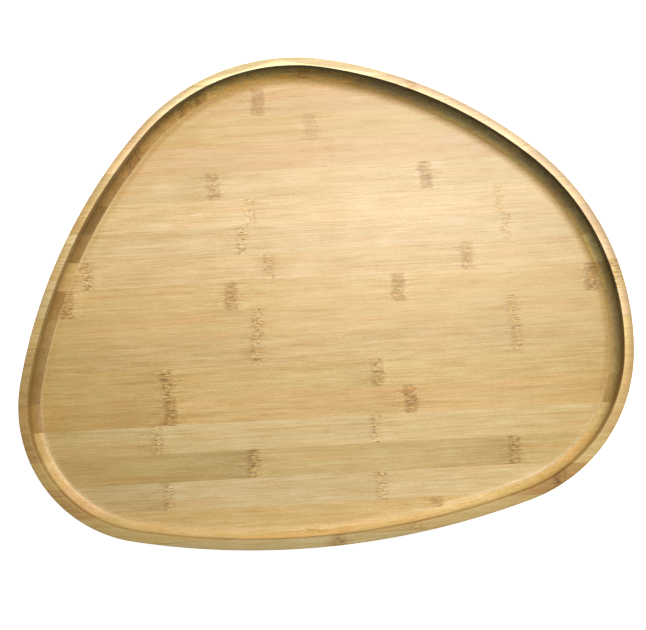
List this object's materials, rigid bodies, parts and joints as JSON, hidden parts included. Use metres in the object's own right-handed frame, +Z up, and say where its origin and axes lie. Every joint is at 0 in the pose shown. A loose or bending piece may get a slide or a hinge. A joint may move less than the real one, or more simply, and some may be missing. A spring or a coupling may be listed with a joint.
{
  "type": "serving tray",
  "caption": "Low free-form serving tray cut from glued bamboo strips, with a shallow coved pocket and a narrow upright rim.",
  "frame": {"origin": "middle of the plan bounding box, on the underside that rests on the table", "axes": "+X along the bamboo strips and the tray's length, +Y across the strips towards the narrower back end, +Z up out of the pocket"},
  "size_m": [0.4, 0.32, 0.02],
  "materials": {
    "floor_strip_01": "oiled satin bamboo",
    "floor_strip_02": "oiled satin bamboo",
    "floor_strip_03": "oiled satin bamboo",
    "floor_strip_04": "oiled satin bamboo",
    "floor_strip_05": "oiled satin bamboo",
    "floor_strip_06": "oiled satin bamboo",
    "floor_strip_07": "oiled satin bamboo",
    "floor_strip_08": "oiled satin bamboo",
    "floor_strip_09": "oiled satin bamboo",
    "floor_strip_10": "oiled satin bamboo",
    "floor_strip_11": "oiled satin bamboo",
    "floor_strip_12": "oiled satin bamboo",
    "floor_strip_13": "oiled satin bamboo",
    "floor_strip_14": "oiled satin bamboo",
    "floor_strip_15": "oiled satin bamboo",
    "floor_strip_16": "oiled satin bamboo",
    "floor_strip_17": "oiled satin bamboo",
    "floor_strip_18": "oiled satin bamboo",
    "rim_back_01": "oiled satin bamboo",
    "rim_front_17": "oiled satin bamboo",
    "rim_front_18": "oiled satin bamboo",
    "rim_left_02": "oiled satin bamboo",
    "rim_left_03": "oiled satin bamboo",
    "rim_left_04": "oiled satin bamboo",
    "rim_left_05": "oiled satin bamboo",
    "rim_left_06": "oiled satin bamboo",
    "rim_left_07": "oiled satin bamboo",
    "rim_left_08": "oiled satin bamboo",
    "rim_left_09": "oiled satin bamboo",
    "rim_left_10": "oiled satin bamboo",
    "rim_left_11": "oiled satin bamboo",
    "rim_left_12": "oiled satin bamboo",
    "rim_left_13": "oiled satin bamboo",
    "rim_left_14": "oiled satin bamboo",
    "rim_left_15": "oiled satin bamboo",
    "rim_left_16": "oiled satin bamboo",
    "rim_right_02": "oiled satin bamboo",
    "rim_right_03": "oiled satin bamboo",
    "rim_right_04": "oiled satin bamboo",
    "rim_right_05": "oiled satin bamboo",
    "rim_right_06": "oiled satin bamboo",
    "rim_right_07": "oiled satin bamboo",
    "rim_right_08": "oiled satin bamboo",
    "rim_right_09": "oiled satin bamboo",
    "rim_right_10": "oiled satin bamboo",
    "rim_right_11": "oiled satin bamboo",
    "rim_right_12": "oiled satin bamboo",
    "rim_right_13": "oiled satin bamboo",
    "rim_right_14": "oiled satin bamboo",
    "rim_right_15": "oiled satin bamboo",
    "rim_right_16": "oiled satin bamboo"
  },
  "bodies": {
    "root": {"floor_strip_01": "floor_strip_01", "floor_strip_02": "floor_strip_02", "floor_strip_03": "floor_strip_03", "floor_strip_04": "floor_strip_04", "floor_strip_05": "floor_strip_05", "floor_strip_06": "floor_strip_06", "floor_strip_07": "floor_strip_07", "floor_strip_08": "floor_strip_08", "floor_strip_09": "floor_strip_09", "floor_strip_10": "floor_strip_10", "floor_strip_11": "floor_strip_11", "floor_strip_12": "floor_strip_12", "floor_strip_13": "floor_strip_13", "floor_strip_14": "floor_strip_14", "floor_strip_15": "floor_strip_15", "floor_strip_16": "floor_strip_16", "floor_strip_17": "floor_strip_17", "floor_strip_18": "floor_strip_18", "rim_back_01": "rim_back_01", "rim_front_17": "rim_front_17", "rim_front_18": "rim_front_18", "rim_left_02": "rim_left_02", "rim_left_03": "rim_left_03", "rim_left_04": "rim_left_04", "rim_left_05": "rim_left_05", "rim_left_06": "rim_left_06", "rim_left_07": "rim_left_07", "rim_left_08": "rim_left_08", "rim_left_09": "rim_left_09", "rim_left_10": "rim_left_10", "rim_left_11": "rim_left_11", "rim_left_12": "rim_left_12", "rim_left_13": "rim_left_13", "rim_left_14": "rim_left_14", "rim_left_15": "rim_left_15", "rim_left_16": "rim_left_16", "rim_right_02": "rim_right_02", "rim_right_03": "rim_right_03", "rim_right_04": "rim_right_04", "rim_right_05": "rim_right_05", "rim_right_06": "rim_right_06", "rim_right_07": "rim_right_07", "rim_right_08": "rim_right_08", "rim_right_09": "rim_right_09", "rim_right_10": "rim_right_10", "rim_right_11": "rim_right_11", "rim_right_12": "rim_right_12", "rim_right_13": "rim_right_13", "rim_right_14": "rim_right_14", "rim_right_15": "rim_right_15", "rim_right_16": "rim_right_16"}
  },
  "joints": []
}
